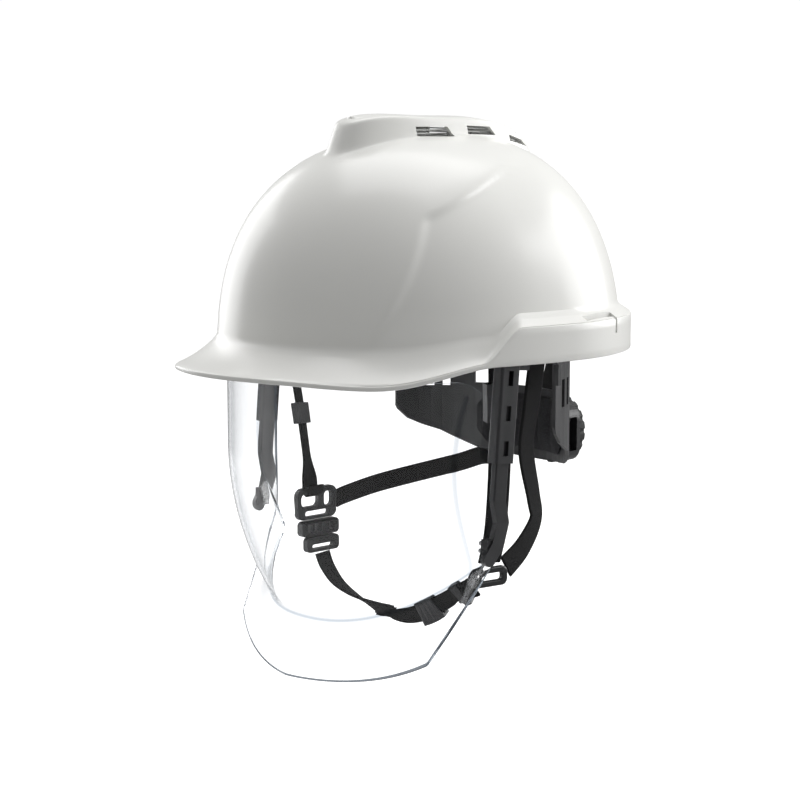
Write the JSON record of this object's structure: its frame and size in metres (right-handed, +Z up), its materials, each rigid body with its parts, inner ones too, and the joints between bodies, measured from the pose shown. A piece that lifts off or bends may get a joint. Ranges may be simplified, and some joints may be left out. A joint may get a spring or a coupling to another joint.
{
  "type": "safety helmet with clear visor",
  "caption": "White hard-shell safety helmet with a long clear visor on slotted rails, ratchet headband and four-point chin harness.",
  "frame": {"origin": "centre of the head ring at the level of the shell's rim", "axes": "-Y front, +X the wearer's left, +Z up"},
  "size_m": [0.226, 0.27, 0.3075],
  "materials": {
    "shell_white": "glossy moulded plastic",
    "grille_grey": "fine moulded grain",
    "black_plastic": "satin moulded nylon",
    "dark_metal": "blackened",
    "clear_sheet": "polished clear polycarbonate",
    "pad_foam": "brushed textile over foam",
    "webbing": "woven polyester webbing",
    "knob_rubber": "matt overmould"
  },
  "bodies": {
    "helmet": {"shell": "shell_white", "left_vent_grille": "grille_grey", "right_vent_grille": "grille_grey", "left_visor_rail": "black_plastic", "right_visor_rail": "black_plastic", "rail_rivets": "dark_metal", "headband": "black_plastic", "sweatband": "pad_foam", "crown_webbing": "webbing", "crown_pad": "pad_foam", "suspension_clips": "grille_grey", "rear_height_strap": "webbing", "left_front_strap": "webbing", "right_front_strap": "webbing", "left_rear_strap": "webbing", "right_rear_strap": "webbing", "left_junction_buckle": "black_plastic", "right_junction_buckle": "black_plastic", "buckle_socket": "black_plastic", "strap_hooks": "black_plastic"},
    "visor": {"visor_sheet": "clear_sheet", "left_visor_arm": "black_plastic", "right_visor_arm": "black_plastic", "arm_pins": "dark_metal"},
    "nape": {"nape_cradle": "black_plastic", "nape_pad": "pad_foam", "ratchet_housing": "black_plastic"},
    "knob": {"ratchet_knob": "knob_rubber", "ratchet_pinion": "grille_grey"},
    "chin_strap": {"buckle_tongue": "black_plastic", "chin_webbing": "webbing", "chin_adjuster": "black_plastic", "chin_end_clip": "black_plastic"},
    "left_rack": {"left_rack": "black_plastic"},
    "right_rack": {"right_rack": "black_plastic"},
    "left_keeper": {"left_strap_keeper": "black_plastic"},
    "right_keeper": {"right_strap_keeper": "black_plastic"}
  },
  "joints": [
    {"name": "visor_slide", "type": "slide", "parent": "helmet", "child": "visor", "axis": [0, 0.0872, 0.9962], "range_m": [0, 0.0186]},
    {"name": "nape_slide", "type": "slide", "parent": "helmet", "child": "nape", "axis": [0, -1, 0], "range_m": [0, 0.012]},
    {"name": "knob_turn", "type": "hinge", "parent": "nape", "child": "knob", "pos_m": [0, 0.1, -0.055], "axis": [0, 1, 0], "range_deg": [0, 114.6]},
    {"name": "left_rack_slide", "type": "slide", "parent": "nape", "child": "left_rack", "axis": [1, 0, 0], "range_m": [-0.012, 0]},
    {"name": "right_rack_slide", "type": "slide", "parent": "nape", "child": "right_rack", "axis": [1, 0, 0], "range_m": [0, 0.012]},
    {"name": "chin_buckle_release", "type": "slide", "parent": "helmet", "child": "chin_strap", "axis": [0.2221, 0.0513, -0.9737], "range_m": [0, 0.014]},
    {"name": "left_keeper_slide", "type": "slide", "parent": "helmet", "child": "left_keeper", "axis": [-0.099, 0.099, -0.9901], "range_m": [-0.004, 0.004]},
    {"name": "right_keeper_slide", "type": "slide", "parent": "helmet", "child": "right_keeper", "axis": [0.2821, -0.0282, -0.959], "range_m": [-0.004, 0.004]}
  ],
  "couplings": [
    {"joint": "knob_turn", "follows": "nape_slide", "rad_per_m": 166.67},
    {"joint": "left_rack_slide", "follows": "nape_slide", "ratio": -1},
    {"joint": "right_rack_slide", "follows": "nape_slide", "ratio": 1}
  ]
}
